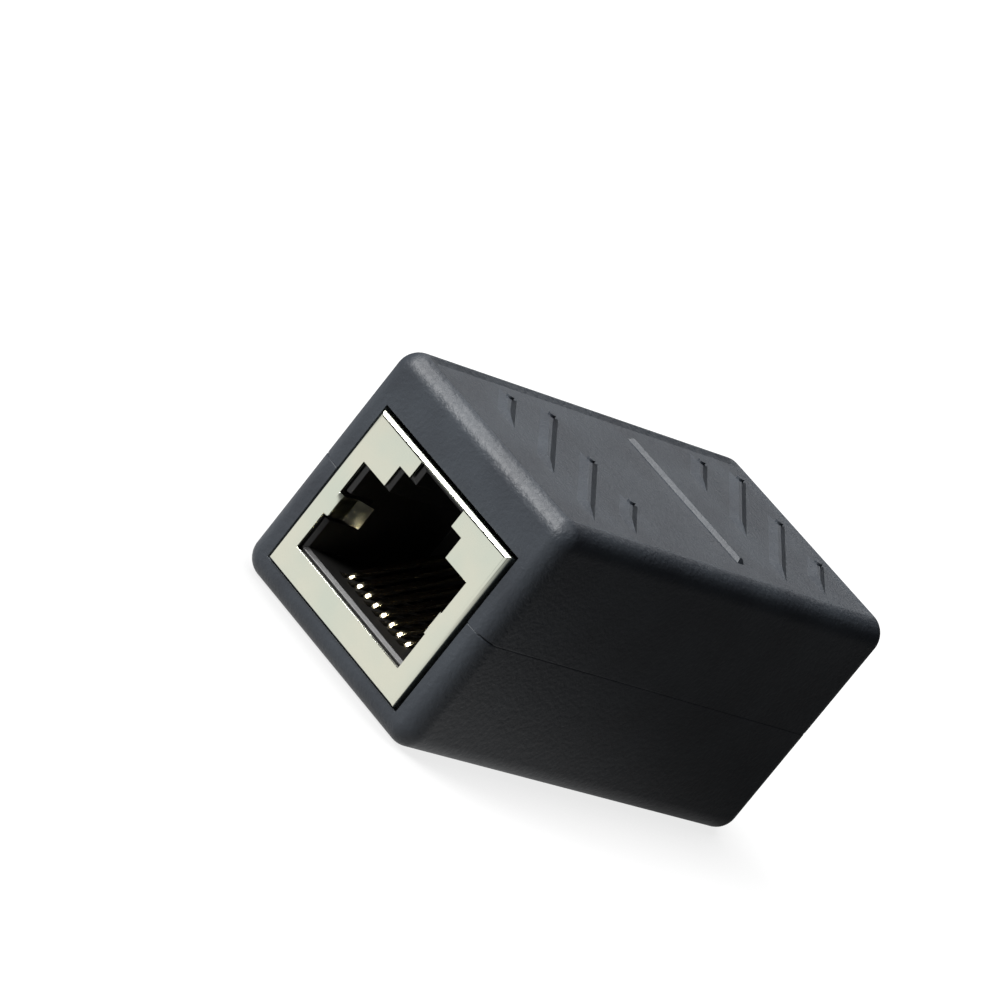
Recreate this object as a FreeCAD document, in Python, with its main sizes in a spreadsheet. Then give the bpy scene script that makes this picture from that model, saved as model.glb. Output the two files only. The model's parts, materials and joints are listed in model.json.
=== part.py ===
import FreeCAD, Part

import math
import os
import re

import Sketcher

# A shielded inline coupler for two eight-way modular plugs. It lies along Y with a port at each
# end, its latch side up, and rests on the flat bottom of its housing at z = 0.
# A moulded housing in two halves traps a circuit board that carries two jacks back to back. Each
# jack is a folded shield round an insulator with eight spring contacts held by a carrier.
# The sizes start at the plug cavity, and each piece is built round the one inside it.

# Every size is in millimetres, except spring_rise, mark_draft and line_draft, which are in degrees.
sizes = {
    "cavity_width": (12.1, "plug cavity"),
    "cavity_main": (6.95, "height of the cavity"),
    "cavity_step_width": (7.3, "channel for the latch's base"),
    "cavity_step": (1.75, "height of that channel"),
    "cavity_key_width": (4.5, "channel for the latch's lever"),
    "cavity_key": (1.2, "height of that channel"),
    "plug_depth": (12.0, "depth of the cavity"),
    "lead_in": (0.25, "chamfer round the mouth of the cavity"),
    "ledge_depth": (2.0, "ledge that the latch catches behind"),
    "latch_room_side": (1.15, "room behind the ledge, beside the lever's channel"),
    "latch_room_depth": (5.5, "length of that room"),
    "insulator_wall": (1.475, "insulator beside the cavity"),
    "insulator_floor": (2.2, "insulator under the cavity"),
    "insulator_roof": (0.5, "insulator over the cavity"),
    "stop_wall": (0.65, "insulator between the cavity and the contact carrier"),
    "insulator_gap": (0.05, "room between the insulator and the shield"),
    "insulator_setback": (0.2, "front of the insulator behind the shield's front sheet"),
    "comb_start": (1.7, "front of the contact slots behind the front of the insulator"),
    "standoff_diameter": (3.6, "standoffs of the insulator under the board"),
    "standoff_margin": (0.025, "from a standoff to the side of the insulator"),
    "peg_diameter": (2.6, "pegs of the insulator in the board"),
    "peg_room": (0.1, "room round a peg"),
    "peg_place": (8.7, "pegs behind the front of the insulator"),
    "shield_sheet": (0.25, "sheet thickness"),
    "shield_proud": (0.45, "how far the shield stands out of the end face"),
    "shield_bend": (0.4, "outer radius of the front bends"),
    "shield_flange": (4.0, "depth of the flange over the front"),
    "rear_flap": (9.5, "height of the flap that closes the back"),
    "window_drop": (0.37, "window below the floor of the cavity"),
    "window_side": (0.325, "window beyond the side of the cavity"),
    "window_step_side": (0.15, "window beyond the side of the latch's channel"),
    "window_key_side": (0.33, "window beyond the side of the lever's channel"),
    "window_rise": (0.27, "window above the cavity and above the latch's channel"),
    "window_key_rise": (0.46, "window above the lever's channel"),
    "finger_sill": (3.02, "bottom of the earthing fingers above the bottom of the window"),
    "finger_height": (1.85, "height of a finger"),
    "finger_inset": (0.35, "how far a finger is folded in from the window's edge"),
    "finger_bend": (0.35, "outer radius of that fold"),
    "finger_straight": (1.8, "straight part of a finger"),
    "finger_lean": (0.6, "how far its end leans into the cavity"),
    "finger_lean_length": (1.27, "length of the leaning part"),
    "finger_room": (0.25, "room round a finger in the insulator"),
    "tab_width": (1.5, "tabs of the shield that go into the board"),
    "tab_place": (7.5, "centre of the tabs behind the front of the shield"),
    "tab_reach": (0.5, "how far the tabs stand out of the board"),
    "contact_pitch": (1.016, "spacing of the contacts"),
    "slot_width": (0.6, "contact slots in the insulator and the carrier"),
    "carrier_side": (0.844, "carrier beside the outer slots"),
    "carrier_depth": (4.2, "contact carrier, front to back"),
    "carrier_gap": (0.05, "room round the carrier"),
    "strip_width": (0.46, "width of a contact"),
    "strip_thickness": (0.36, "thickness of a contact"),
    "strip_gap": (0.05, "room round a contact in the carrier"),
    "pin_corner": (0.3, "middle radius of the bend from the run to the pin"),
    "run_height": (1.05, "middle of the contacts above the bottom of the shield"),
    "spring_bend": (0.95, "middle radius of the front bend of a contact"),
    "spring_place": (3.7, "centre of that bend behind the front of the insulator"),
    "spring_rise": (25.0, "slope of the spring arm, in degrees"),
    "spring_length": (7.6, "length of the spring arm"),
    "pin_place": (0.85, "first row of pins behind the front of the carrier"),
    "pin_row_spacing": (2.54, "from the first row of pins to the second"),
    "pin_reach": (0.6, "how far the pins stand out of the board"),
    "pin_hole": (0.7, "holes for the pins"),
    "board_thickness": (1.2, "circuit board"),
    "board_gap": (0.1, "room between the shields and the board"),
    "board_side_gap": (0.2, "room between the board and the side walls"),
    "board_end_gap": (0.15, "room between the board and the end walls"),
    "board_slot_room": (0.15, "room round a tab in the board"),
    "board_headroom": (1.2, "room between the board and the roof"),
    "board_rib_width": (1.0, "ribs under the roof that hold the board down"),
    "board_rib_length": (20.0, "length of those ribs"),
    "board_rib_gap": (0.05, "room between those ribs and the board"),
    "port_side_gap": (0.3, "room beside the shield in the port"),
    "port_top_gap": (0.25, "room over the shield in the port"),
    "jack_spacing": (5.0, "between the backs of the two shields"),
    "side_wall": (2.175, "side walls"),
    "floor_wall": (1.85, "bottom wall"),
    "roof_wall": (1.7, "top wall under the recessed panel"),
    "end_wall": (1.6, "end walls above the ports"),
    "seam_height": (9.8, "parting line above the bottom"),
    "seam_chamfer": (0.1, "bevel along the parting line"),
    "long_edge_radius": (1.75, "rounding of the four edges that run along the housing"),
    "end_edge_radius": (1.5, "rounding of the edges round each end face"),
    "lip_height": (0.8, "lip on the lower half that locates the upper half"),
    "lip_width": (0.8, "thickness of that lip"),
    "lip_gap": (0.1, "room round the lip"),
    "rest_rib_height": (0.15, "ribs on the floor that the shields rest on"),
    "rest_rib_width": (1.0, "width of those ribs"),
    "rest_rib_place": (5.0, "centre of those ribs from the middle"),
    "stop_rib_height": (4.0, "cross ribs behind the jacks"),
    "stop_rib_width": (1.2, "thickness of those ribs"),
    "stop_gap": (0.15, "room between a cross rib and the shield"),
    "panel_recess": (0.2, "depth of the panel in the top face"),
    "panel_side_border": (1.45, "rim left beside the panel"),
    "panel_end_border": (1.1, "rim left at the ends of the panel"),
    "panel_corner": (0.6, "corner radius of the panel"),
    "mark_height": (0.3, "raised marks on the panel"),
    "mark_draft": (64.0, "how far their sides lean in, in degrees"),
    "mark_width": (1.5, "width of a mark at its foot"),
    "mark_toe": (1.6, "slant of its tail, along the mark"),
    "mark_notch": (0.8, "notch in its far end"),
    "stud_place": (1.2, "centre of the stud on a mark, from the far end"),
    "stud_diameter": (0.6, "that stud"),
    "stud_height": (0.45, "top of the stud above the panel"),
    "mark_long": (12.1, "length of the two middle marks of a row"),
    "mark_short": (6.1, "length of the outer marks of a row"),
    "mark_pitch": (4.9, "spacing of the marks along X"),
    "mark_side": (1.35, "tail of the last mark from the right edge of the panel"),
    "mark_shift": (0.15, "how far the last tail lies outside the one before it"),
    "front_tails": (4.2, "tails of the front row, from the front edge of the panel"),
    "rear_tails": (9.75, "tails of the back row, from the back edge of the panel"),
    "line_side": (2.05, "ends of the raised line from the sides of the panel"),
    "line_width": (0.8, "width of that line"),
    "line_place": (3.65, "centre of that line behind the middle"),
    "line_draft": (40.0, "how far its sides lean in, in degrees"),
}
contact_count = 8

doc = FreeCAD.newDocument("rj45_inline_coupler")
sheet = doc.addObject("Spreadsheet::Sheet", "Sizes")
for row, (alias, (number, note)) in enumerate(sizes.items(), 1):
    sheet.set(f"A{row}", alias)
    sheet.set(f"B{row}", str(number))
    sheet.setAlias(f"B{row}", alias)
    sheet.set(f"C{row}", note)
doc.recompute()

# Places that several pieces share, written in the names of the sheet. Heights build up from the
# floor of the housing, halves of widths from the middle, and depths from the middle to the front.
shield_bottom = "(floor_wall + rest_rib_height)"
insulator_bottom = f"({shield_bottom} + shield_sheet + insulator_gap)"
cavity_floor = f"({insulator_bottom} + insulator_floor)"
cavity_main_top = f"({cavity_floor} + cavity_main)"
cavity_step_top = f"({cavity_main_top} + cavity_step)"
cavity_key_top = f"({cavity_step_top} + cavity_key)"
insulator_top = f"({cavity_key_top} + insulator_roof)"
shield_top = f"({insulator_top} + insulator_gap + shield_sheet)"
board_bottom = f"({shield_top} + board_gap)"
board_top = f"({board_bottom} + board_thickness)"
ceiling = f"({board_top} + board_headroom)"
panel_floor = f"({ceiling} + roof_wall)"
housing_top = f"({panel_floor} + panel_recess)"
window_bottom = f"({cavity_floor} - window_drop)"
finger_bottom = f"({window_bottom} + finger_sill)"
run_middle = f"({shield_bottom} + run_height)"

insulator_half = "(cavity_width / 2 + insulator_wall)"
shield_half = f"({insulator_half} + insulator_gap + shield_sheet)"
inner_half = f"({shield_half} + port_side_gap)"
housing_half = f"({inner_half} + side_wall)"
board_half = f"({inner_half} - board_side_gap)"
panel_half = f"({housing_half} - panel_side_border)"
window_half = "(cavity_width / 2 + window_side)"
first_contact = f"(-contact_pitch * {(contact_count - 1) / 2})"
carrier_half = f"(slot_width / 2 + carrier_side - {first_contact})"

shield_back = "(-jack_spacing / 2)"
insulator_back = f"({shield_back} - shield_sheet - insulator_gap)"
carrier_front = f"({insulator_back} - carrier_depth)"
insulator_front = f"({carrier_front} - stop_wall - plug_depth)"
shield_front = f"({insulator_front} - insulator_setback - shield_sheet)"
finger_fold = f"({shield_front} + finger_straight)"
finger_tip = f"({finger_fold} + finger_lean_length)"
front_face = f"({shield_front} + shield_proud)"
panel_front = f"({front_face} + panel_end_border)"
first_row = f"({carrier_front} + pin_place)"
second_row = f"({first_row} + pin_row_spacing)"


def linked(text):
    """Writes an expression in the sheet's own names."""
    return re.sub(r"[a-z_]+", lambda found: "Sizes." * (found[0] in sizes) + found[0], text)


def value(text):
    return float(sheet.evalExpression(linked(text)))


def body_named(label, turned=False):
    """A turned body is the same piece at the other end of the coupler."""
    body = doc.addObject("PartDesign::Body", label)
    body.Label = label
    if turned:
        body.Placement = FreeCAD.Placement(FreeCAD.Vector(), FreeCAD.Rotation(180, 0, 0))
    return body


def origin_part(body, role):
    return next(item for item in body.Origin.OriginFeatures if item.Role == role)


def sketch_on(body, name, plane, start):
    """An empty sketch on a plane through start."""
    sketch = body.newObject("Sketcher::SketchObject", name)
    sketch.AttachmentSupport = [(origin_part(body, f"{plane}_Plane"), "")]
    sketch.MapMode = "FlatFace"
    side = "-" if plane == "XZ" else ""
    sketch.setExpression("AttachmentOffset.Base.z", linked(f"{side}({start})"))
    return sketch


def block(left, right, low, high):
    """Corners of a rectangle."""
    return [(left, low), (right, low), (right, high), (left, high)]


def across(half, low, high):
    """Corners of a rectangle centred on the middle."""
    return block(f"-({half})", f"{half}", low, high)


def place_of(corner):
    return FreeCAD.Vector(value(corner[0]), value(corner[1]), 0)


def fix_point(sketch, geometry, point, corner):
    for axis, text in zip("XY", corner):
        rule = Sketcher.Constraint(f"Distance{axis}", -1, 1, geometry, point, value(text))
        row = sketch.addConstraint(rule)
        sketch.setExpression(f"Constraints[{row}]", linked(text))


def fix_size(sketch, kind, geometry, text):
    row = sketch.addConstraint(Sketcher.Constraint(kind, geometry, value(text)))
    sketch.setExpression(f"Constraints[{row}]", linked(text))


def add_outline(sketch, corners):
    first = sketch.GeometryCount
    places = [place_of(corner) for corner in corners]
    for start, end in zip(places, places[1:] + places[:1]):
        sketch.addGeometry(Part.LineSegment(start, end), False)
    for index, corner in enumerate(corners):
        after = first + (index + 1) % len(corners)
        sketch.addConstraint(Sketcher.Constraint("Coincident", first + index, 2, after, 1))
        fix_point(sketch, first + index, 1, corner)


def add_circle(sketch, centre, diameter):
    circle = Part.Circle(place_of(centre), FreeCAD.Vector(0, 0, 1), value(diameter) / 2)
    index = sketch.addGeometry(circle, False)
    fix_point(sketch, index, 3, centre)
    fix_size(sketch, "Diameter", index, diameter)


def add_run(sketch, corners, bends):
    """An open run of lines and left-hand arcs. bends gives an arc's centre and radius by the
    number of the corner that it starts from."""
    for index, (start, end) in enumerate(zip(corners, corners[1:])):
        here, there = place_of(start), place_of(end)
        if index in bends:
            centre, radius = bends[index]
            middle = place_of(centre)
            circle = Part.Circle(middle, FreeCAD.Vector(0, 0, 1), value(radius))
            angles = [math.atan2(place.y - middle.y, place.x - middle.x) for place in (here, there)]
            sketch.addGeometry(Part.ArcOfCircle(circle, *angles), False)
            fix_size(sketch, "Radius", index, radius)
        else:
            sketch.addGeometry(Part.LineSegment(here, there), False)
        fix_point(sketch, index, 1, start)
        if index > 0:
            sketch.addConstraint(Sketcher.Constraint("Coincident", index - 1, 2, index, 1))
    fix_point(sketch, len(corners) - 2, 2, corners[-1])


def extrude(body, name, plane, start, length, outlines=(), circles=(), cut=False):
    """Pads or pockets a sketch from start, over length, towards the plane's positive side."""
    sketch = sketch_on(body, f"{name}_sketch", plane, start)
    for corners in outlines:
        add_outline(sketch, corners)
    for centre, diameter in circles:
        add_circle(sketch, centre, diameter)
    feature = body.newObject("PartDesign::Pocket" if cut else "PartDesign::Pad", name)
    feature.Profile = sketch
    feature.setExpression("Length", linked(length))
    feature.Reversed = cut != (plane == "XZ")
    body.Tip = feature
    return feature


def repeat(body, name, features, spacing, count, axis="X"):
    pattern = body.newObject("PartDesign::LinearPattern", name)
    pattern.Originals = features
    pattern.Direction = (origin_part(body, f"{axis}_Axis"), [""])
    pattern.Mode = "Spacing"
    pattern.setExpression("Offset", linked(spacing))
    pattern.Occurrences = count
    body.Tip = pattern


def mirror(body, name, feature, plane="YZ"):
    """Repeats a feature on the other side of the middle."""
    copy = body.newObject("PartDesign::Mirrored", name)
    copy.Originals = [feature]
    copy.MirrorPlane = (origin_part(body, f"{plane}_Plane"), [""])
    body.Tip = copy


def dress_edges(body, kind, name, size, chosen):
    """Rounds or bevels the edges whose boxes are chosen."""
    doc.recompute()
    base = body.Tip
    edges = [f"Edge{i}" for i, edge in enumerate(base.Shape.Edges, 1) if chosen(edge.BoundBox)]
    dress = body.newObject(f"PartDesign::{kind}", name)
    dress.Base = (base, edges)
    dress.setExpression("Radius" if kind == "Fillet" else "Size", linked(size))
    body.Tip = dress


def near(first, second):
    return abs(first - second) < 1e-4


def level_at(box, height):
    return near(box.ZMin, height) and near(box.ZMax, height)


def facing_at(box, depth):
    return near(box.YMin, depth) and near(box.YMax, depth)


def shell_block(body, low, high, flat):
    """The outside of one housing half, with its dressed edges. flat is its top or bottom face."""
    extrude(body, "outside", "XZ", front_face, f"-2 * {front_face}",
            [across(housing_half, low, high)])
    face, seam = value(flat), value("seam_height")
    side, end = value(housing_half), -value(front_face)
    dress_edges(body, "Fillet", "long_edges", "long_edge_radius", lambda box: level_at(box, face)
                and near(abs(box.XMin), side) and near(box.XMin, box.XMax))
    dress_edges(body, "Fillet", "end_edges", "end_edge_radius", lambda box:
                near(box.YMin, box.YMax) and near(abs(box.YMin), end) and not level_at(box, seam))
    dress_edges(body, "Chamfer", "seam", "seam_chamfer", lambda box: level_at(box, seam))


def mark_place(mark, along, aside):
    """A place on a mark, which runs from the right corner of its tail towards -X +Y."""
    tail_x, tail_y, _ = mark
    root = math.sqrt(0.5)
    return (f"{tail_x} - {root} * ({along} + {aside})", f"{tail_y} + {root} * ({along} - {aside})")


def mark_outline(mark):
    length = mark[2]
    corners = [(0, 0), (length, 0), (f"({length} - mark_notch)", "mark_width / 2"),
               (length, "mark_width"), ("mark_toe", "mark_width")]
    return [mark_place(mark, along, aside) for along, aside in corners]


def stud_on(mark):
    return mark_place(mark, f"({mark[2]} - stud_place)", "mark_width / 2"), "stud_diameter"


def row_of_marks():
    """The tail and the length of each mark in the front row."""
    marks = []
    last_x = f"{panel_half} - mark_side"
    tail_y = f"{panel_front} + front_tails"
    for index, length in enumerate(("mark_short", "mark_long", "mark_long")):
        marks.append((f"{last_x} - mark_shift - {2 - index} * mark_pitch", tail_y, length))
    marks.append((last_x, f"{tail_y} + mark_pitch - mark_shift", "mark_short"))
    return marks


def raised(body, name, outlines, draft):
    """Marks on the panel, with sides that lean in."""
    feature = extrude(body, name, "XY", panel_floor, "mark_height", outlines)
    feature.setExpression("TaperAngle", linked(f"-{draft}"))
    return feature


def upper_housing():
    body = body_named("upper_housing")
    shell_block(body, "seam_height", housing_top, housing_top)
    extrude(body, "interior", "XZ", f"{front_face} + end_wall", f"-2 * ({front_face} + end_wall)",
            [across(inner_half, "seam_height", ceiling)], cut=True)
    extrude(body, "ports", "XZ", front_face, f"-2 * {front_face}",
            [across(inner_half, "seam_height", f"{shield_top} + port_top_gap")], cut=True)
    rebate = f"({inner_half} + lip_width + lip_gap)"
    extrude(body, "rebate", "XZ", f"{front_face} + end_wall", f"-2 * ({front_face} + end_wall)",
            [across(rebate, "seam_height", "seam_height + lip_height + lip_gap")], cut=True)
    extrude(body, "panel", "XY", panel_floor, "panel_recess",
            [across(panel_half, panel_front, f"-{panel_front}")], cut=True)
    panel_end, panel_side = -value(panel_front), value(panel_half)
    dress_edges(body, "Fillet", "panel_corners", "panel_corner", lambda box:
                near(abs(box.YMin), panel_end) and near(abs(box.XMin), panel_side)
                and near(box.XMin, box.XMax) and near(box.YMin, box.YMax))
    row = row_of_marks()
    marks = raised(body, "marks", [mark_outline(mark) for mark in row], "mark_draft")
    studs = extrude(body, "mark_studs", "XY", panel_floor, "stud_height",
                    circles=[stud_on(mark) for mark in row])
    repeat(body, "mark_rows", [marks, studs], f"-2 * {panel_front} - front_tails - rear_tails", 2, "Y")
    raised(body, "line", [across(f"{panel_half} - line_side", "line_place - line_width / 2",
                                 "line_place + line_width / 2")], "line_draft")
    rib = extrude(body, "board_rib", "XZ", "-board_rib_length / 2", "board_rib_length",
                  [block(f"{board_half} - board_rib_width", board_half,
                         f"{board_top} + board_rib_gap", ceiling)])
    mirror(body, "board_ribs", rib)
    return body


def lower_housing():
    body = body_named("lower_housing")
    shell_block(body, "0", "seam_height", "0")
    extrude(body, "channel", "XZ", front_face, f"-2 * {front_face}",
            [across(inner_half, "floor_wall", "seam_height")], cut=True)
    lip = extrude(body, "lip", "XZ", f"{front_face} + end_wall + lip_gap",
                  f"-2 * ({front_face} + end_wall + lip_gap)",
                  [block(inner_half, f"{inner_half} + lip_width",
                         "seam_height", "seam_height + lip_height")])
    mirror(body, "lips", lip)
    rest = extrude(body, "rest_rib", "XZ", f"{front_face} + end_wall",
                   f"-2 * ({front_face} + end_wall)",
                   [block("rest_rib_place - rest_rib_width / 2",
                          "rest_rib_place + rest_rib_width / 2", "floor_wall", shield_bottom)])
    mirror(body, "rest_ribs", rest)
    stop = extrude(body, "stop_rib", "XZ", f"{shield_back} + stop_gap", "stop_rib_width",
                   [across(inner_half, "floor_wall", "floor_wall + stop_rib_height")])
    mirror(body, "stop_ribs", stop, "XZ")
    return body


def stepped(bottom, steps):
    """A stepped opening, widest at the bottom, from the half width and the top of each step."""
    right = []
    level = bottom
    for half, top in steps:
        right += [(half, level), (half, top)]
        level = top
    return right + [(f"-{half}", up) for half, up in reversed(right)]


def shield(label, turned):
    body = body_named(label, turned)
    extrude(body, "block", "XZ", shield_front, f"{shield_back} - {shield_front}",
            [across(shield_half, shield_bottom, shield_top)])
    front, back = value(shield_front), value(shield_back)
    dress_edges(body, "Fillet", "bends", "shield_bend", lambda box: facing_at(box, front))
    doc.recompute()
    base = body.Tip
    open_face = [f"Face{i}" for i, face in enumerate(base.Shape.Faces, 1)
                 if near(face.BoundBox.YMin, back)]
    walls = body.newObject("PartDesign::Thickness", "walls")
    walls.Base = (base, open_face)
    walls.setExpression("Value", linked("shield_sheet"))
    walls.Reversed = True
    body.Tip = walls
    extrude(body, "board_side", "XZ", f"{shield_front} + shield_flange",
            f"{shield_back} - {shield_front}",
            [across(f"{shield_half} - shield_sheet", f"{shield_top} - shield_sheet", shield_top)],
            cut=True)
    extrude(body, "flap", "XZ", f"{shield_back} - shield_sheet", "shield_sheet",
            [across(shield_half, shield_bottom, f"{shield_bottom} + rear_flap")])
    extrude(body, "window", "XZ", shield_front, "shield_sheet",
            [stepped(window_bottom,
                     [(window_half, f"({cavity_main_top} + window_rise)"),
                      ("(cavity_step_width / 2 + window_step_side)",
                       f"({cavity_step_top} + window_rise)"),
                      ("(cavity_key_width / 2 + window_key_side)",
                       f"({cavity_key_top} + window_key_rise)")])], cut=True)
    inner = f"({window_half} - finger_inset)"
    finger = extrude(body, "finger", "XY", finger_bottom, "finger_height",
                     [[(f"{window_half} + shield_sheet", shield_front), (inner, shield_front),
                       (inner, finger_fold), (f"{inner} - finger_lean", finger_tip),
                       (f"{inner} - finger_lean + shield_sheet", finger_tip),
                       (f"{inner} + shield_sheet", finger_fold),
                       (f"{inner} + shield_sheet", f"{shield_front} + shield_sheet"),
                       (f"{window_half} + shield_sheet", f"{shield_front} + shield_sheet")]])
    mirror(body, "fingers", finger)
    inner_place = value(inner)
    dress_edges(body, "Fillet", "finger_bends", "finger_bend", lambda box: facing_at(box, front)
                and near(abs(box.XMin), inner_place) and near(box.XMin, box.XMax))
    middle = f"({shield_front} + tab_place)"
    tab = extrude(body, "tab", "YZ", f"{shield_half} - shield_sheet", "shield_sheet",
                  [block(f"{middle} - tab_width / 2", f"{middle} + tab_width / 2",
                         shield_top, f"{board_top} + tab_reach")])
    mirror(body, "tabs", tab)
    return body


def peg_places():
    side = f"({insulator_half} - standoff_diameter / 2 - standoff_margin)"
    return [(f"{sign}{side}", f"{insulator_front} + peg_place") for sign in ("-", "")]


def insulator(label, turned):
    body = body_named(label, turned)
    extrude(body, "block", "XZ", insulator_front, f"{insulator_back} - {insulator_front}",
            [across(insulator_half, insulator_bottom, insulator_top)])
    extrude(body, "cavity", "XZ", insulator_front, "plug_depth",
            [stepped(cavity_floor, [("cavity_width / 2", cavity_main_top),
                                    ("cavity_step_width / 2", cavity_step_top),
                                    ("cavity_key_width / 2", cavity_key_top)])], cut=True)
    front = value(insulator_front)
    side, low, high = value(insulator_half), value(insulator_bottom), value(insulator_top)
    dress_edges(body, "Chamfer", "mouth", "lead_in", lambda box: facing_at(box, front)
                and not near(abs(box.XMin), side) and not level_at(box, low)
                and not level_at(box, high))
    extrude(body, "latch_room", "XZ", f"{insulator_front} + ledge_depth", "latch_room_depth",
            [across("cavity_key_width / 2 + latch_room_side", cavity_main_top, cavity_key_top)],
            cut=True)
    extrude(body, "finger_rooms", "XZ", insulator_front,
            f"{finger_tip} + finger_room - {insulator_front}",
            [across(insulator_half, f"{finger_bottom} - finger_room",
                    f"{finger_bottom} + finger_height + finger_room")], cut=True)
    comb = f"({insulator_front} + comb_start)"
    slot = extrude(body, "slot", "XZ", comb, f"{insulator_back} - {comb}",
                   [block(f"{first_contact} - slot_width / 2", f"{first_contact} + slot_width / 2",
                          insulator_bottom, cavity_floor)], cut=True)
    repeat(body, "slots", [slot], "contact_pitch", contact_count)
    room = f"({carrier_front} - carrier_gap)"
    extrude(body, "carrier_room", "XZ", room, f"{insulator_back} - {room}",
            [across(f"{carrier_half} + carrier_gap", insulator_bottom, insulator_top)], cut=True)
    extrude(body, "standoffs", "XY", insulator_top, f"{board_bottom} - {insulator_top}",
            circles=[(centre, "standoff_diameter") for centre in peg_places()])
    extrude(body, "pegs", "XY", board_bottom, "board_thickness",
            circles=[(centre, "peg_diameter") for centre in peg_places()])
    return body


def contact_carrier(label, turned):
    body = body_named(label, turned)
    extrude(body, "block", "XZ", carrier_front, "carrier_depth",
            [across(carrier_half, insulator_bottom, insulator_top)])
    room = "(strip_thickness / 2 + strip_gap)"
    for index, row in enumerate((first_row, second_row)):
        run_top = f"({run_middle} + {room})"
        corner = [(carrier_front, insulator_bottom), (f"{row} + {room}", insulator_bottom),
                  (f"{row} + {room}", insulator_top), (f"{row} - {room}", insulator_top),
                  (f"{row} - {room}", run_top), (carrier_front, run_top)]
        start = f"{first_contact} + {index} * contact_pitch - slot_width / 2"
        slot = extrude(body, f"slot_{index + 1}", "YZ", start, "slot_width", [corner], cut=True)
        repeat(body, f"slots_{index + 1}", [slot], "2 * contact_pitch", contact_count // 2)
    return body


def contact_row(index):
    return first_row if index % 2 == 0 else second_row


def contact_across(index):
    return f"({first_contact} + {index} * contact_pitch)"


def contact(label, turned, index):
    """A strip bent into a spring arm, a front bend, a run under the cavity and a pin."""
    body = body_named(label, turned)
    middle, pin = contact_across(index), contact_row(index)
    pin_top = f"({board_top} + pin_reach)"
    turn_y, turn_z = f"({insulator_front} + spring_place)", f"({run_middle} + spring_bend)"
    cosine, sine = "cos(spring_rise * 1 deg)", "sin(spring_rise * 1 deg)"
    arm_y, arm_z = f"({turn_y} - spring_bend * {sine})", f"({turn_z} + spring_bend * {cosine})"
    tip = (f"{arm_y} + spring_length * {cosine}", f"{arm_z} + spring_length * {sine}")
    corner = (f"({pin} - pin_corner)", f"({run_middle} + pin_corner)")
    path = sketch_on(body, "path", "YZ", middle)
    add_run(path, [tip, (arm_y, arm_z), (turn_y, run_middle), (corner[0], run_middle),
                   (pin, corner[1]), (pin, pin_top)],
            {1: ((turn_y, turn_z), "spring_bend"), 3: (corner, "pin_corner")})
    section = sketch_on(body, "section", "XY", pin_top)
    add_outline(section, block(f"{middle} - strip_width / 2", f"{middle} + strip_width / 2",
                               f"{pin} - strip_thickness / 2", f"{pin} + strip_thickness / 2"))
    strip = body.newObject("PartDesign::AdditivePipe", "strip")
    strip.Profile = section
    strip.Spine = path
    body.Tip = strip
    return body


def both_ends(places):
    """The given places, and the same places for the jack at the other end."""
    return places + [(f"-({x})", f"-({y})") for x, y in places]


def circuit_board():
    body = body_named("circuit_board")
    end = f"({front_face} + end_wall + board_end_gap)"
    extrude(body, "board", "XY", board_bottom, "board_thickness",
            [across(board_half, end, f"-{end}")])
    pins = [(contact_across(i), contact_row(i)) for i in range(contact_count)]
    extrude(body, "pin_holes", "XY", board_bottom, "board_thickness",
            circles=[(place, "pin_hole") for place in both_ends(pins)], cut=True)
    extrude(body, "peg_holes", "XY", board_bottom, "board_thickness",
            circles=[(place, "peg_diameter + 2 * peg_room") for place in both_ends(peg_places())],
            cut=True)
    inside = f"({shield_half} - shield_sheet - board_slot_room)"
    low = f"({shield_front} + tab_place - tab_width / 2 - board_slot_room)"
    high = f"({shield_front} + tab_place + tab_width / 2 + board_slot_room)"
    notches = [block(f"{side}{inside}", f"{side}{board_half}", f"{end}{low}", f"{end}{high}")
               for side in ("", "-") for end in ("", "-")]
    extrude(body, "tab_notches", "XY", board_bottom, "board_thickness", notches, cut=True)
    return body


pieces = [upper_housing(), lower_housing(), circuit_board()]
for end, turned in (("front", False), ("rear", True)):
    pieces.append(shield(f"{end}_shield", turned))
    pieces.append(insulator(f"{end}_insulator", turned))
    pieces.append(contact_carrier(f"{end}_contact_carrier", turned))
    for index in range(contact_count):
        pieces.append(contact(f"{end}_contact_{index + 1}", turned, index))
doc.recompute()

for item in doc.Objects:
    if any(state in ("Invalid", "Error") for state in item.State):
        raise RuntimeError(f"{item.Label} didn't build")
for piece in pieces:
    if piece.Shape.isNull() or not piece.Shape.isValid():
        raise RuntimeError(f"{piece.Label} has no valid shape")
    if len(piece.Shape.Solids) != 1:
        raise RuntimeError(f"{piece.Label} is {len(piece.Shape.Solids)} solids")

os.makedirs("parts", exist_ok=True)
for piece in pieces:
    piece.Shape.exportStep(f"parts/{piece.Label}.step")
    print(f"{piece.Label}: {piece.Shape.Volume:.2f} mm3")
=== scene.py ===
import json
import math

import bpy
from mathutils import Matrix, Vector


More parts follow.
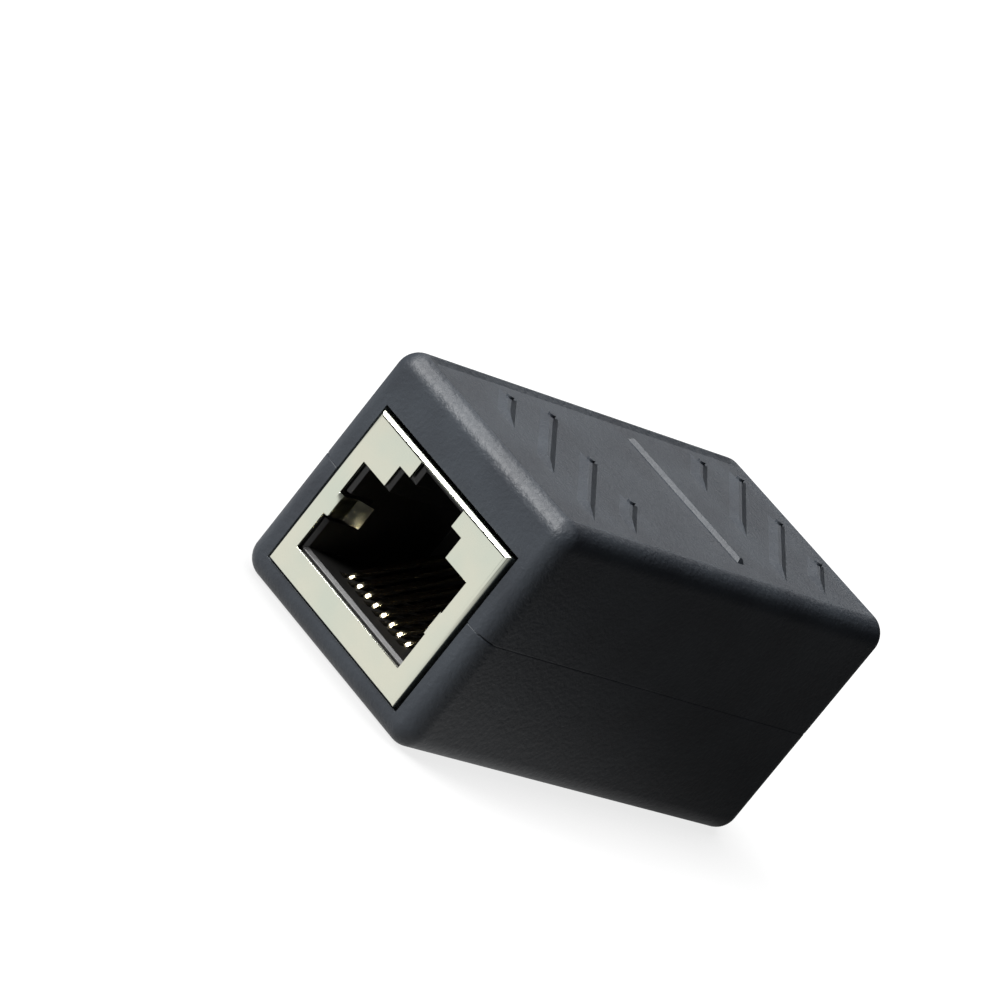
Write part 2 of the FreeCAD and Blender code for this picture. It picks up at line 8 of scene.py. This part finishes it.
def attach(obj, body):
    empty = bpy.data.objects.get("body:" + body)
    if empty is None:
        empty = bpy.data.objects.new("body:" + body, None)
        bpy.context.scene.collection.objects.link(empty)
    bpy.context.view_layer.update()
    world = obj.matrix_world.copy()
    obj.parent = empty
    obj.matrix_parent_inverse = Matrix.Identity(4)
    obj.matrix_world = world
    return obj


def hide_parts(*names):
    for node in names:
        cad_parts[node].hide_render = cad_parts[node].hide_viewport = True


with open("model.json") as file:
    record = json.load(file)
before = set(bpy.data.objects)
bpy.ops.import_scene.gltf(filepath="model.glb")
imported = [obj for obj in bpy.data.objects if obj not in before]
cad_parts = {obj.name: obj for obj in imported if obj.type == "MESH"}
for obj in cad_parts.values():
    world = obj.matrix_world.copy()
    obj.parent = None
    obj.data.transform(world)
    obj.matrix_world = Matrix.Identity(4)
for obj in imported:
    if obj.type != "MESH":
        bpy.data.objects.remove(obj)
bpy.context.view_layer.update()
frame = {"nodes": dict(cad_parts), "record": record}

mm = 0.001
print("frame loaded:", len(frame["nodes"]), "nodes")


def colour(text):  # an sRGB hex value as linear colour
    parts = [int(text[i:i + 2], 16) / 255 for i in (1, 3, 5)]
    return [p / 12.92 if p <= 0.04045 else ((p + 0.055) / 1.055) ** 2.4 for p in parts] + [1.0]


def newMaterial(name):
    material = bpy.data.materials.new(name)
    material.use_nodes = True
    material.node_tree.nodes.clear()
    return material


def addNode(material, kind, inputs={}, **settings):  # an input is a value, or (node, output)
    tree = material.node_tree
    node = tree.nodes.new(kind)
    for name, value in settings.items():
        setattr(node, name, value)
    for name, value in inputs.items():
        if isinstance(value, tuple) and isinstance(value[0], bpy.types.Node):
            tree.links.new(value[0].outputs[value[1]], node.inputs[name])
        else:
            node.inputs[name].default_value = value
    return node


def setRamp(node, *stops):  # stops of a colour ramp: (place, colour)
    elements = node.color_ramp.elements
    while len(elements) < len(stops):
        elements.new(0.5)
    for element, (place, shade) in zip(elements, stops):
        element.position = place
        element.color = shade


# Housing: black PC/ABS moulded in a spark-eroded tool, which leaves an even grain that breaks up
# the highlights on the rounded edges.
housing = {
    "base": "#2b2f35",
    "lighter": "#353a40",
    "cloud": 5.0,  # mm, slow change of shade
    "grain": 0.34,  # mm, between the pits of the texture
    "grainDepth": 0.05,  # mm
    "ripple": 1.1,  # mm, slight sink of the walls
    "rippleDepth": 0.004,
    "roughness": 0.47,
    "roughSpread": 0.08,
    "specular": 0.35,
    "edge": 0.06,  # mm, rounding of moulded edges
}


def mouldedHousing():
    look = housing
    material = newMaterial("moulded_black_abs")
    place = addNode(material, "ShaderNodeTexCoord")
    cloud = addNode(material, "ShaderNodeTexNoise", {
        "Vector": (place, "Object"), "Scale": 1 / (look["cloud"] * mm), "Detail": 3.0})
    shade = addNode(material, "ShaderNodeValToRGB", {"Fac": (cloud, "Fac")})
    setRamp(shade, (0.35, colour(look["base"])), (0.7, colour(look["lighter"])))
    grain = addNode(material, "ShaderNodeTexNoise", {
        "Vector": (place, "Object"), "Scale": 1 / (look["grain"] * mm), "Detail": 2.0,
        "Roughness": 0.6})
    ripple = addNode(material, "ShaderNodeTexNoise", {
        "Vector": (place, "Object"), "Scale": 1 / (look["ripple"] * mm), "Detail": 1.0})
    rough = addNode(material, "ShaderNodeMapRange", {
        "Value": (grain, "Fac"), "To Min": look["roughness"] - look["roughSpread"],
        "To Max": look["roughness"] + look["roughSpread"]})
    wave = addNode(material, "ShaderNodeBump", {
        "Height": (ripple, "Fac"), "Strength": 1.0, "Distance": look["rippleDepth"] * mm})
    pits = addNode(material, "ShaderNodeBump", {
        "Height": (grain, "Fac"), "Strength": 1.0, "Distance": look["grainDepth"] * mm,
        "Normal": (wave, "Normal")})
    surface = addNode(material, "ShaderNodeBsdfPrincipled", {
        "Base Color": (shade, "Color"), "Roughness": (rough, "Result"),
        "Normal": (pits, "Normal"), "IOR": 1.53, "Specular IOR Level": look["specular"]})
    addNode(material, "ShaderNodeOutputMaterial", {"Surface": (surface, "BSDF")})
    return material


# Shield: tin-plated steel, folded from sheet. The plating is bright but slightly soft, with faint
# cloudy patches and fine marks along the sheet.
shield = {
    "base": "#d9decf",
    "warmer": "#e2e2d1",
    "cloud": 3.5,  # mm
    "grain": 0.12,  # mm, across the rolling marks
    "grainDepth": 0.0008,  # mm
    "stretch": 0.08,  # how much slower the marks change along the sheet
    "roughness": 0.13,
    "smoother": 0.05,
    "rougher": 0.08,
    "edge": 0.09,
}


def tinPlate():
    look = shield
    material = newMaterial("tin_plated_steel")
    place = addNode(material, "ShaderNodeTexCoord")
    cloud = addNode(material, "ShaderNodeTexNoise", {
        "Vector": (place, "Object"), "Scale": 1 / (look["cloud"] * mm), "Detail": 2.0})
    shade = addNode(material, "ShaderNodeValToRGB", {"Fac": (cloud, "Fac")})
    setRamp(shade, (0.35, colour(look["base"])), (0.65, colour(look["warmer"])))
    stretch = addNode(material, "ShaderNodeMapping", {
        "Vector": (place, "Object"), "Scale": (1.0, 1.0, look["stretch"])})
    rolling = addNode(material, "ShaderNodeTexNoise", {
        "Vector": (stretch, "Vector"), "Scale": 1 / (look["grain"] * mm), "Detail": 2.0})
    rough = addNode(material, "ShaderNodeMapRange", {
        "Value": (cloud, "Fac"), "To Min": look["roughness"] - look["smoother"],
        "To Max": look["roughness"] + look["rougher"]})
    marks = addNode(material, "ShaderNodeBump", {
        "Height": (rolling, "Fac"), "Strength": 0.4, "Distance": look["grainDepth"] * mm})
    surface = addNode(material, "ShaderNodeBsdfPrincipled", {
        "Base Color": (shade, "Color"), "Metallic": 1.0, "Roughness": (rough, "Result"),
        "Normal": (marks, "Normal")})
    addNode(material, "ShaderNodeOutputMaterial", {"Surface": (surface, "BSDF")})
    return material


# Insulator and carrier: black glass-filled PBT, smoother than the housing, so its edges shine.
insulator = {
    "base": "#141414",
    "lighter": "#1d1c1b",
    "grain": 0.3,  # mm
    "grainDepth": 0.004,  # mm
    "roughness": 0.38,
    "smoother": 0.06,
    "rougher": 0.1,
    "edge": 0.05,
}


def mouldedInsulator(name, base):
    look = insulator
    material = newMaterial(name)
    place = addNode(material, "ShaderNodeTexCoord")
    grain = addNode(material, "ShaderNodeTexNoise", {
        "Vector": (place, "Object"), "Scale": 1 / (look["grain"] * mm), "Detail": 3.0})
    shade = addNode(material, "ShaderNodeValToRGB", {"Fac": (grain, "Fac")})
    setRamp(shade, (0.3, colour(base)), (0.75, colour(look["lighter"])))
    rough = addNode(material, "ShaderNodeMapRange", {
        "Value": (grain, "Fac"), "To Min": look["roughness"] - look["smoother"],
        "To Max": look["roughness"] + look["rougher"]})
    pits = addNode(material, "ShaderNodeBump", {
        "Height": (grain, "Fac"), "Strength": 0.5, "Distance": look["grainDepth"] * mm})
    surface = addNode(material, "ShaderNodeBsdfPrincipled", {
        "Base Color": (shade, "Color"), "Roughness": (rough, "Result"),
        "Normal": (pits, "Normal"), "IOR": 1.57})
    addNode(material, "ShaderNodeOutputMaterial", {"Surface": (surface, "BSDF")})
    return material


# Contacts: phosphor bronze strip with gold over nickel, drawn and polished, so it is bright.
contact = {
    "base": "#f6ecd2",
    "warmer": "#e3c688",
    "grain": 0.2,  # mm
    "roughness": 0.07,
    "rougher": 0.1,
    "edge": 0.078,
}


def goldPlate():
    look = contact
    material = newMaterial("gold_plated_bronze")
    place = addNode(material, "ShaderNodeTexCoord")
    grain = addNode(material, "ShaderNodeTexNoise", {
        "Vector": (place, "Object"), "Scale": 1 / (look["grain"] * mm), "Detail": 2.0})
    shade = addNode(material, "ShaderNodeValToRGB", {"Fac": (grain, "Fac")})
    setRamp(shade, (0.4, colour(look["base"])), (0.8, colour(look["warmer"])))
    rough = addNode(material, "ShaderNodeMapRange", {
        "Value": (grain, "Fac"), "To Min": look["roughness"],
        "To Max": look["roughness"] + look["rougher"]})
    surface = addNode(material, "ShaderNodeBsdfPrincipled", {
        "Base Color": (shade, "Color"), "Metallic": 1.0, "Roughness": (rough, "Result")})
    addNode(material, "ShaderNodeOutputMaterial", {"Surface": (surface, "BSDF")})
    return material


# Circuit board: glass epoxy under green solder mask, a smooth lacquer over a faint weave.
board = {
    "mask": "#1d5a34",
    "darker": "#17492b",
    "weave": 0.6,  # mm
    "roughness": 0.3,
}


def solderMask():
    look = board
    material = newMaterial("green_solder_mask")
    place = addNode(material, "ShaderNodeTexCoord")
    weave = addNode(material, "ShaderNodeTexBrick", {
        "Vector": (place, "Object"), "Scale": 1 / (look["weave"] * mm),
        "Color1": colour(look["mask"]), "Color2": colour(look["mask"]),
        "Mortar": colour(look["darker"]), "Mortar Size": 0.06, "Brick Width": 1.0,
        "Row Height": 1.0})
    bump = addNode(material, "ShaderNodeBump", {
        "Height": (weave, "Fac"), "Strength": 0.3, "Distance": 0.01 * mm})
    surface = addNode(material, "ShaderNodeBsdfPrincipled", {
        "Base Color": (weave, "Color"), "Roughness": look["roughness"],
        "Normal": (bump, "Normal"), "IOR": 1.5, "Coat Weight": 0.4, "Coat Roughness": 0.15})
    addNode(material, "ShaderNodeOutputMaterial", {"Surface": (surface, "BSDF")})
    return material


finishes = {
    "housing": mouldedHousing(),
    "shield": tinPlate(),
    "insulator": mouldedInsulator("moulded_black_pbt", insulator["base"]),
    "carrier": mouldedInsulator("moulded_carrier_pbt", "#181818"),
    "contact": goldPlate(),
    "board": solderMask(),
}
slotOf = {part["node"]: part["material_slot"] for part in frame["record"]["subparts"]}
edgeOf = {"housing": housing["edge"], "shield": shield["edge"], "insulator": insulator["edge"],
          "contact": contact["edge"]}


def wear(piece, finish):
    piece.data.materials.clear()
    piece.data.materials.append(finish)


def pickOnly(piece):
    bpy.ops.object.select_all(action="DESELECT")
    piece.select_set(True)
    bpy.context.view_layer.objects.active = piece


def shiftPoints(piece, chosen, factors):  # the chosen points move in or out from the middle
    for point in piece.data.vertices:
        if chosen(point.co / mm):
            point.co.x *= factors[0]
            point.co.y *= factors[1]


# Both housings: the groove along the parting line is shallow, as moulded halves close up.
seamDetail = {
    "height": 9.8,
    "side": 10.2,  # bottom of the groove
    "end": 19.55,
    "lip": 0.085,  # how much shallower the groove gets
    "near": 0.1,
    "level": 0.02,  # how close to its height a point lies
}


def onSeam(place):
    look = seamDetail
    outer = (abs(place.x) > look["side"] - look["near"]
             or abs(place.y) > look["end"] - look["near"])
    return abs(place.z - look["height"]) < look["level"] and outer


# Upper housing: the rim round the sunk panel runs down to its floor as a soft slope.
topDetail = {
    "floorHeight": 19.4,
    "slope": 0.5,  # how far the foot of the rim runs in over the panel
    "foot": 0.45,  # width of the band in which that foot lies
    "panelSide": 8.86,
    "panelEnd": 18.56,
    "level": 0.02,
}


def onPanelFoot(place):
    look = topDetail
    aside, along = abs(place.x), abs(place.y)
    inside = aside < look["panelSide"] and along < look["panelEnd"]
    edge = aside > look["panelSide"] - look["foot"] or along > look["panelEnd"] - look["foot"]
    return abs(place.z - look["floorHeight"]) < look["level"] and inside and edge


# A moulded or stamped piece has no razor edges. Each visible solid is copied, its loose triangles
# are merged back to whole faces, and every sharp edge is rounded.
softEdges = {
    "merge": 0.0005,  # mm, points closer than this become one
    "flat": 0.5,  # degrees, faces within this become one
    "sharp": 14,  # degrees, edges from here on are rounded
    "segments": 3,
    "smooth": 50,  # degrees, edges up to here are shaded smooth
    "weight": 100,  # large faces keep their shading flat
}


def softened(node, width):
    piece = bpy.data.objects.new(node + "_finished", frame["nodes"][node].data.copy())
    bpy.context.scene.collection.objects.link(piece)
    pickOnly(piece)
    bpy.ops.mesh.customdata_custom_splitnormals_clear()
    bpy.ops.object.mode_set(mode="EDIT")
    bpy.ops.mesh.select_all(action="SELECT")
    bpy.ops.mesh.remove_doubles(threshold=softEdges["merge"] * mm)
    bpy.ops.mesh.dissolve_limited(angle_limit=math.radians(softEdges["flat"]))
    bpy.ops.object.mode_set(mode="OBJECT")
    if slotOf[node] == "housing":
        look = seamDetail
        shiftPoints(piece, onSeam, (1 + look["lip"] / look["side"], 1 + look["lip"] / look["end"]))
    if node == "upper_housing":
        look = topDetail
        shiftPoints(piece, onPanelFoot, (1 - look["slope"] / look["panelSide"],
                                         1 - look["slope"] / look["panelEnd"]))
    bevel = piece.modifiers.new("edges", "BEVEL")
    bevel.width = width * mm
    bevel.segments = softEdges["segments"]
    bevel.limit_method = "ANGLE"
    bevel.angle_limit = math.radians(softEdges["sharp"])
    bevel.use_clamp_overlap = True
    bpy.ops.object.modifier_apply(modifier=bevel.name)
    bpy.ops.object.shade_smooth_by_angle(angle=math.radians(softEdges["smooth"]))
    even = piece.modifiers.new("even", "WEIGHTED_NORMAL")
    even.keep_sharp = True
    even.weight = softEdges["weight"]
    bpy.ops.object.modifier_apply(modifier=even.name)
    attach(piece, "root")
    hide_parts(node)
    return piece


for node, slotName in slotOf.items():
    wear(frame["nodes"][node], finishes[slotName])
    if slotName in edgeOf:
        wear(softened(node, edgeOf[slotName]), finishes[slotName])
print("pieces finished")

# Floor: plain white card. The camera sees it lifted to white, except for a painted soft shadow
# where the object stands. Glossy rays see a painted pool of light in front of the object only,
# where no lamp shines, and a painted sheen at its foot.
floor = {
    "size": 6.0,  # m
    "card": "#565656",
    "contact": 0.008,  # m, reach of the painted soft shadow
    # painted shadow: how low the white lift drops where the object stands
    "shade": 0.80,
    # painted sheen: glow that only glossy rays see on the floor
    "paintedSheen": 0.745,
    "foot": 0.30,  # painted sheen as well, at the foot of the object
    "paintedPool": (-0.012, -0.045, 0.0),  # m, middle of the painted pool of light
    "near": 0.030,  # m, where that starts to fade
    "far": 0.085,
}


def whiteFloor():
    look = floor
    bpy.ops.mesh.primitive_plane_add(size=look["size"])
    plane = bpy.context.object
    plane.name = "floor"
    material = newMaterial("white_card")
    path = addNode(material, "ShaderNodeLightPath")
    # Ambient occlusion is the mask for the painted soft shadow round the foot of the object.
    clear = addNode(material, "ShaderNodeAmbientOcclusion", {"Distance": look["contact"]},
                    samples=8)
    paintedShadowLift = addNode(material, "ShaderNodeMapRange", {
        "Value": (clear, "AO"), "From Min": 0.5, "From Max": 1.0, "To Min": look["shade"],
        "To Max": 1.0})
    place = addNode(material, "ShaderNodeTexCoord")
    reach = addNode(material, "ShaderNodeVectorMath", {0: (place, "Object"), 1: look["paintedPool"]},
                    operation="DISTANCE")
    # Painted pool of light, fading with distance from its middle.
    fade = addNode(material, "ShaderNodeMapRange", {
        "Value": (reach, "Value"), "From Min": look["near"], "From Max": look["far"],
        "To Min": look["paintedSheen"], "To Max": 0.0}, interpolation_type="SMOOTHSTEP")
    # Painted sheen at the foot of the object, where ambient occlusion finds it close.
    foot = addNode(material, "ShaderNodeMapRange", {
        "Value": (clear, "AO"), "From Min": 0.5, "From Max": 1.0, "To Min": look["foot"],
        "To Max": 0.0})
    both = addNode(material, "ShaderNodeMath", {0: (fade, "Result"), 1: (foot, "Result")},
                   operation="MAXIMUM")
    # Only glossy rays see this painted reflection of the pool and the foot sheen.
    paintedReflection = addNode(material, "ShaderNodeMath", {
        0: (path, "Is Glossy Ray"), 1: (both, "Value")}, operation="MULTIPLY")
    direct = addNode(material, "ShaderNodeMath", {
        0: (path, "Is Camera Ray"), 1: (path, "Is Transmission Ray")}, operation="MAXIMUM")
    # Emission: white with a painted shadow for camera rays, plus a painted reflection for glossy
    # rays.
    lift = addNode(material, "ShaderNodeMath", {
        0: (direct, "Value"), 1: (paintedShadowLift, "Result"), 2: (paintedReflection, "Value")},
        operation="MULTIPLY_ADD")
    surface = addNode(material, "ShaderNodeBsdfPrincipled", {
        "Base Color": colour(look["card"]), "Roughness": 0.9, "Specular IOR Level": 0.0,
        "Emission Color": (1.0, 1.0, 1.0, 1.0), "Emission Strength": (lift, "Value")})
    addNode(material, "ShaderNodeOutputMaterial", {"Surface": (surface, "BSDF")})
    wear(plane, material)


whiteFloor()

# Light: soft boxes over the left front and the left side of the object, and a wide low one behind
# its left side that glances off the top. A weak one overhead lifts the right long edge. Nothing
# shines from the right.
lights = {
    "key": {"place": (-0.40, -0.66, 0.56), "aim": (0, 0, 0), "width": 0.50, "height": 0.40,
            "power": 15.0},
    "over": {"place": (-0.52, -0.10, 0.75), "aim": (0, 0, 0), "width": 0.28, "height": 0.28,
             "power": 5.0},
    "back": {"place": (-0.62, 0.72, 0.56), "aim": (0, 0, 0), "width": 0.7, "height": 0.32,
             "power": 1.4},
    "top": {"place": (0.12, 0.0, 0.85), "aim": (0, 0, 0), "width": 0.5, "height": 0.5,
            "power": 1.2},
}
sky = {"shade": "#9a9ca0", "strength": 0.03}


def addLight(name, look):
    bpy.ops.object.light_add(type="AREA", location=look["place"])
    lamp = bpy.context.object
    lamp.name = name
    lamp.data.shape = "RECTANGLE"
    lamp.data.size = look["width"]
    lamp.data.size_y = look["height"]
    lamp.data.energy = look["power"]
    ray = Vector(look["aim"]) - Vector(look["place"])
    lamp.rotation_euler = ray.to_track_quat("-Z", "Y").to_euler()


for name, look in lights.items():
    addLight(name + "_light", look)

world = bpy.data.worlds.new("studio")
bpy.context.scene.world = world
world.use_nodes = True
background = world.node_tree.nodes["Background"]
background.inputs["Color"].default_value = colour(sky["shade"])
background.inputs["Strength"].default_value = sky["strength"]

# Camera: the photograph's own, worked out from the edges of the body, shield and port.
camera = {
    "place": (237.87, -352.46, 130.72),  # mm
    "azimuth": 35.086,
    "elevation": 15.605,
    "roll": 38.625,
    "lens": 229.6,
}


def addCamera():
    look = camera
    turn = (Matrix.Rotation(math.radians(look["azimuth"]), 4, "Z")
            @ Matrix.Rotation(math.radians(90 - look["elevation"]), 4, "X")
            @ Matrix.Rotation(math.radians(look["roll"]), 4, "Z"))
    bpy.ops.object.camera_add()
    eye = bpy.context.object
    eye.matrix_world = Matrix.Translation(Vector(look["place"]) * mm) @ turn
    eye.data.lens = look["lens"]
    eye.data.clip_start = 0.01
    eye.data.clip_end = 20
    bpy.context.scene.camera = eye


addCamera()
bpy.context.scene.view_settings.view_transform = "Standard"
print("stage, lights and camera set")
